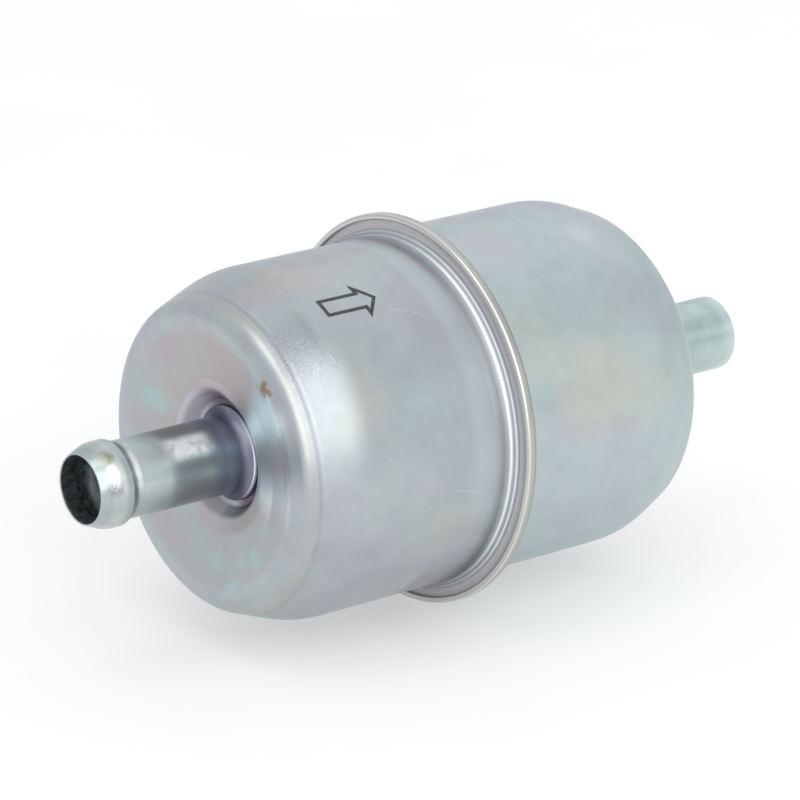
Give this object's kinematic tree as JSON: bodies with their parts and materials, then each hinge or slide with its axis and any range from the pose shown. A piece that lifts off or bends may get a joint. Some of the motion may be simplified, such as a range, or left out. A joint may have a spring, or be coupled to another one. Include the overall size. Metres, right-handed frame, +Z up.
{
  "type": "inline fuel filter",
  "caption": "Round steel fuel filter with a rolled seam, a beaded inlet tube, a plain outlet tube and a spring-loaded pleated paper element inside.",
  "frame": {"origin": "on the filter's axis, half-way between the two tube mouths", "axes": "+X along the axis in the direction of flow, from the inlet to the outlet; +Z up; +Y completes a right-handed frame"},
  "size_m": [0.1045, 0.0516, 0.0516],
  "materials": {
    "inlet_cup_zinc": "bright zinc plate, semi-gloss, faint blue and lilac tint",
    "outlet_cup_zinc": "bright zinc plate, semi-gloss, faint green and straw tint",
    "tube_zinc": "bright zinc plate, semi-gloss",
    "braze_copper": "satin",
    "seam_compound": "matte",
    "black_ink": "matte ink",
    "spring_steel": "satin drawn wire",
    "tinplate": "bright tin plate",
    "potting_compound": "satin plastisol",
    "filter_paper": "matte resin-treated paper",
    "nitrile_rubber": "matte"
  },
  "bodies": {
    "canister": {"inlet_shell": "inlet_cup_zinc", "outlet_shell": "outlet_cup_zinc", "inlet_tube": "tube_zinc", "outlet_tube": "tube_zinc", "inlet_braze_ring": "braze_copper", "outlet_braze_ring": "braze_copper", "seam_sealant": "seam_compound", "flow_arrow": "black_ink", "element_spring": "spring_steel"},
    "element": {"inlet_end_cap": "tinplate", "outlet_end_cap": "tinplate", "inlet_potting": "potting_compound", "outlet_potting": "potting_compound", "filter_media": "filter_paper", "media_seam_clip": "tinplate", "core_tube": "tinplate", "outlet_gasket": "nitrile_rubber"}
  },
  "joints": [
    {"name": "element_float", "type": "slide", "parent": "canister", "child": "element", "axis": [-1, 0, 0], "range_m": [0, 0.0015], "stiffness_N_per_m": 800, "springref_m": -0.008, "deforming": ["element_spring"]}
  ]
}
